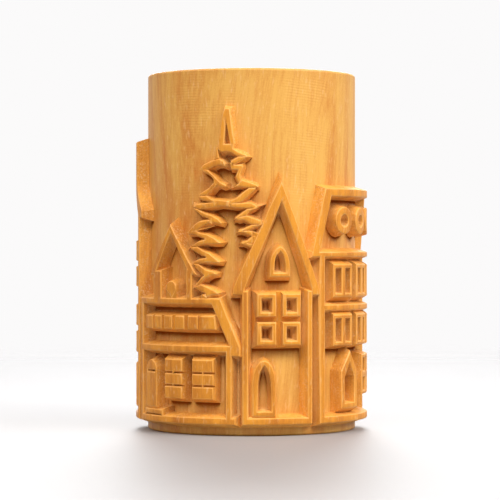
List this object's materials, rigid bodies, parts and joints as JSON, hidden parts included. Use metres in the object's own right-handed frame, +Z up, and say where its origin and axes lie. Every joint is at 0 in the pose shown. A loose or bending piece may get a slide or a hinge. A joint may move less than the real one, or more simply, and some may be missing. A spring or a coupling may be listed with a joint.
{
  "type": "embossed rolling pin",
  "caption": "Short handle-less wooden hand roller with a village scene raised on its lower two thirds, for printing rolled dough or clay.",
  "frame": {"origin": "centre of the bottom end, on the roller's axis", "axes": "+Z up along the roller's axis, the pictured side of the relief faces -Y"},
  "size_m": [0.0394, 0.0394, 0.06],
  "materials": {
    "turned_wood": "oiled satin",
    "carved_wood": "oiled satin"
  },
  "bodies": {
    "root": {"roller_core": "turned_wood", "gable_house_frame": "carved_wood", "gable_house_attic_window": "carved_wood", "gable_house_window": "carved_wood", "gable_house_door": "carved_wood", "town_house_frame": "carved_wood", "town_house_door": "carved_wood", "town_house_shop_window": "carved_wood", "town_house_upper_window_1": "carved_wood", "town_house_lower_window_1": "carved_wood", "town_house_upper_window_2": "carved_wood", "town_house_lower_window_2": "carved_wood", "town_house_upper_window_3": "carved_wood", "town_house_lower_window_3": "carved_wood", "town_house_round_window_1": "carved_wood", "town_house_round_window_2": "carved_wood", "town_house_round_window_3": "carved_wood", "tall_house_frame": "carved_wood", "tall_house_upper_window": "carved_wood", "tall_house_lower_window": "carved_wood", "tall_house_door": "carved_wood", "cottage_frame": "carved_wood", "cottage_shingles": "carved_wood", "cottage_left_window": "carved_wood", "cottage_right_window": "carved_wood", "cottage_door": "carved_wood", "cottage_dormer_window": "carved_wood", "back_house_frame": "carved_wood", "back_house_attic_window": "carved_wood", "back_house_door": "carved_wood", "back_house_left_window": "carved_wood", "back_house_right_window": "carved_wood", "front_fir": "carved_wood", "back_left_fir": "carved_wood", "back_right_fir": "carved_wood"}
  },
  "joints": []
}
